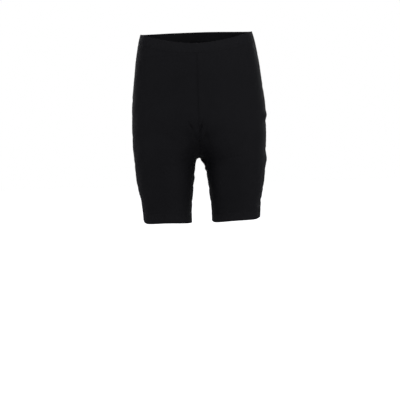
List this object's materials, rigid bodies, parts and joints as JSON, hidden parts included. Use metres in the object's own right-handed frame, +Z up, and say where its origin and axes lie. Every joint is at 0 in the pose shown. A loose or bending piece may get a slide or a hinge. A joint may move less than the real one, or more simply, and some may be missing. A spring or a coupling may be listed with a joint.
{
  "type": "cycling shorts",
  "caption": "Close-fitting mid-thigh shorts in stretch knit, in their worn hollow form, with an elastic waistband and turned leg hems.",
  "frame": {"origin": "middle of the waist opening, level with the waistband's top edge at the side seams, where the wearer's waist holds the shorts up", "axes": "+Z up the body, -Y the way the front faces, +X the wearer's left"},
  "size_m": [0.361, 0.2509, 0.5116],
  "materials": {
    "cloth": "fine black stretch knit, matt with a faint sheen",
    "trim": "doubled black stretch knit over elastic"
  },
  "bodies": {
    "root": {"front_left": "cloth", "front_right": "cloth", "back_left": "cloth", "back_right": "cloth", "waistband": "trim", "hem_left": "trim", "hem_right": "trim"}
  },
  "joints": []
}
